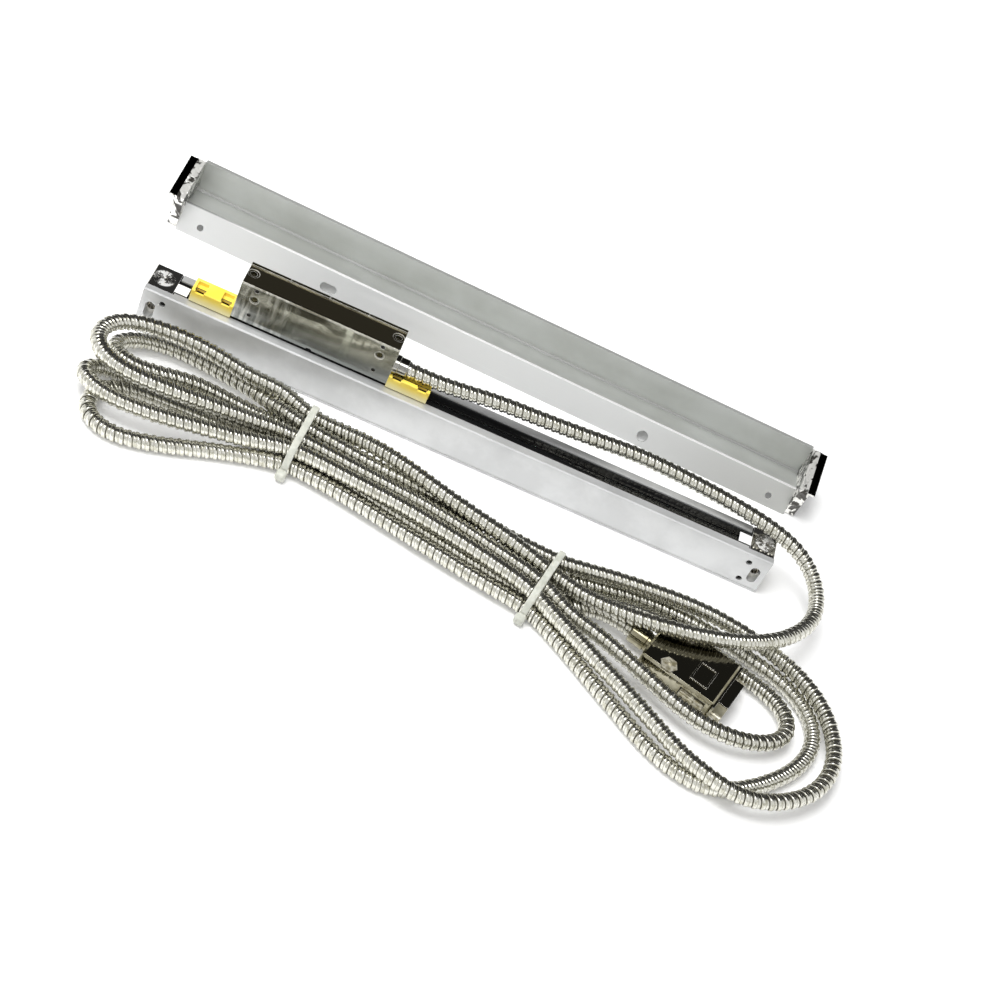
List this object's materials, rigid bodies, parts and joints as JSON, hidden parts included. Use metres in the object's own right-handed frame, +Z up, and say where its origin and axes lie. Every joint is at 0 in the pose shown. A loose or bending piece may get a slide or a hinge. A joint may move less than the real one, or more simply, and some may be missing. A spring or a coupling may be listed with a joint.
{
  "type": "sealed linear encoder",
  "caption": "Slim sealed linear encoder: aluminium housing with an inner glass scale, sliding reading head on transport brackets, armoured cable tied in a hank, plug and loose dust cover.",
  "frame": {"origin": "centre of the housing's bottom face, where the scale rests on its mounting surface", "axes": "+X along the scale, away from the head's parked end; +Y to the back, towards the loose cover; +Z up, out of the sealing slot"},
  "size_m": [0.377, 0.2308, 0.0448],
  "materials": {
    "anodised_aluminium": "satin clear anodised, fine lengthwise grain",
    "end_block_chrome": "bright mirror plating",
    "black_rubber": "glossy black sealing rubber",
    "steel": "plain bright steel",
    "scale_glass": "clear glass with a fine grating",
    "head_nickel": "dark nickel, near mirror, faintly brushed",
    "circuit": "green circuit board",
    "carriage_metal": "machined, matt",
    "black_plastic": "moulded, matt",
    "bracket_yellow": "yellow moulded plastic, semi-gloss",
    "armour": "interlocked steel conduit, silver with olive shadows",
    "tie_nylon": "translucent natural nylon",
    "plug_metal": "plated die-cast metal",
    "cover_aluminium": "satin anodised extrusion",
    "cap_chrome": "mirror plating with dark edges"
  },
  "bodies": {
    "scale": {"housing_extrusion": "anodised_aluminium", "end_block_left": "end_block_chrome", "end_block_right": "end_block_chrome", "end_gaskets": "black_rubber", "block_screws": "steel", "glass_scale": "scale_glass", "glass_seat": "black_rubber", "seal_lip_front": "black_rubber", "seal_lip_back": "black_rubber", "dust_cover": "cover_aluminium", "cover_cap_left": "cap_chrome", "cover_cap_right": "cap_chrome"},
    "head": {"head_housing": "head_nickel", "head_back_plate": "head_nickel", "head_screws": "steel", "circuit_board": "circuit", "cable_gland": "steel", "coupling_blade": "steel", "coupling_spring": "steel", "carriage_frame": "carriage_metal", "bearing_pins": "steel", "light_source": "black_plastic", "photocell_board": "circuit", "index_grating": "scale_glass", "transport_bracket_left": "bracket_yellow", "transport_bracket_right": "bracket_yellow", "cable_tube": "armour", "cable_hank": "armour", "cable_tie_left": "tie_nylon", "cable_tie_right": "tie_nylon", "plug_hood_lower": "plug_metal", "plug_hood_upper": "plug_metal", "plug_shell": "plug_metal", "plug_insert": "black_plastic", "plug_ferrule": "plug_metal", "plug_hood_screws": "steel"},
    "guide_bearing_low_left_body": {"guide_bearing_low_left": "steel"},
    "guide_bearing_low_right_body": {"guide_bearing_low_right": "steel"},
    "guide_bearing_middle_body": {"guide_bearing_middle": "steel"},
    "guide_bearing_top_left_body": {"guide_bearing_top_left": "steel"},
    "guide_bearing_top_right_body": {"guide_bearing_top_right": "steel"},
    "thumbscrew_front_body": {"thumbscrew_front": "steel"},
    "thumbscrew_back_body": {"thumbscrew_back": "steel"}
  },
  "joints": [
    {"name": "head_slide", "type": "slide", "parent": "scale", "child": "head", "axis": [1, 0, 0], "range_m": [0, 0.155]},
    {"name": "bearing_low_left_roll", "type": "hinge", "parent": "head", "child": "guide_bearing_low_left_body", "pos_m": [-0.1021, 0.00038, 0.007], "axis": [0, 0, 1], "range_deg": [0, 4450]},
    {"name": "bearing_low_right_roll", "type": "hinge", "parent": "head", "child": "guide_bearing_low_right_body", "pos_m": [-0.0541, 0.00038, 0.007], "axis": [0, 0, 1], "range_deg": [0, 4450]},
    {"name": "bearing_middle_roll", "type": "hinge", "parent": "head", "child": "guide_bearing_middle_body", "pos_m": [-0.0781, 0.00038, 0.0125], "axis": [0, 0, 1], "range_deg": [0, 4450]},
    {"name": "bearing_top_left_roll", "type": "hinge", "parent": "head", "child": "guide_bearing_top_left_body", "pos_m": [-0.1051, 0.0032, 0.01542], "axis": [0, 1, 0], "range_deg": [0, 4450]},
    {"name": "bearing_top_right_roll", "type": "hinge", "parent": "head", "child": "guide_bearing_top_right_body", "pos_m": [-0.0511, 0.0032, 0.01542], "axis": [0, 1, 0], "range_deg": [0, 4450]},
    {"name": "thumbscrew_front_spin", "type": "hinge", "parent": "head", "child": "thumbscrew_front_body", "pos_m": [0.1262, -0.09171, 0.0075], "axis": [0.9527, -0.304, 0], "continuous": true},
    {"name": "thumbscrew_back_spin", "type": "hinge", "parent": "head", "child": "thumbscrew_back_body", "pos_m": [0.1338, -0.06789, 0.0075], "axis": [0.9527, -0.304, 0], "continuous": true}
  ],
  "couplings": [
    {"joint": "bearing_low_left_roll", "follows": "head_slide", "rad_per_m": 500},
    {"joint": "bearing_low_right_roll", "follows": "head_slide", "rad_per_m": 500},
    {"joint": "bearing_middle_roll", "follows": "head_slide", "rad_per_m": 500},
    {"joint": "bearing_top_left_roll", "follows": "head_slide", "rad_per_m": 500},
    {"joint": "bearing_top_right_roll", "follows": "head_slide", "rad_per_m": 500}
  ]
}
